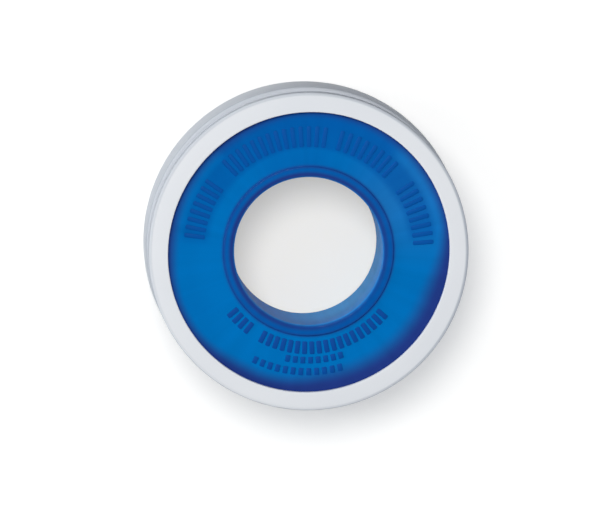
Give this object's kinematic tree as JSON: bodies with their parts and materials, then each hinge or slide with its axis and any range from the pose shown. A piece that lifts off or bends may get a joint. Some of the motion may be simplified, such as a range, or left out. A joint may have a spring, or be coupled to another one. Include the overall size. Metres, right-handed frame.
{
  "type": "thread seal tape roll",
  "caption": "Round roll of thread seal tape: a translucent blue hubbed spool wound with white tape turns inside a white two-piece case whose front cap pulls off.",
  "frame": {"origin": "centre of the rear face, which is the face that the roll lies on", "axes": "+Z along the roll's axis from the rear face to the front face with the blue disc; +X to the right and +Y up in a view of the front face"},
  "size_m": [0.053, 0.053, 0.0163],
  "materials": {
    "case_white": "satin white moulding",
    "spool_blue": "translucent blue moulding",
    "tape_white": "soft unsintered white tape"
  },
  "bodies": {
    "case": {"rear_cup": "case_white"},
    "spool": {"spool": "spool_blue", "tape_winding": "tape_white"},
    "cap": {"front_cap": "case_white"}
  },
  "joints": [
    {"name": "spool_spin", "type": "hinge", "parent": "case", "child": "spool", "pos_m": [0, 0, 0], "axis": [0, 0, 1], "continuous": true},
    {"name": "cap_pull", "type": "slide", "parent": "case", "child": "cap", "axis": [0, 0, 1], "range_m": [0, 0.018]}
  ]
}
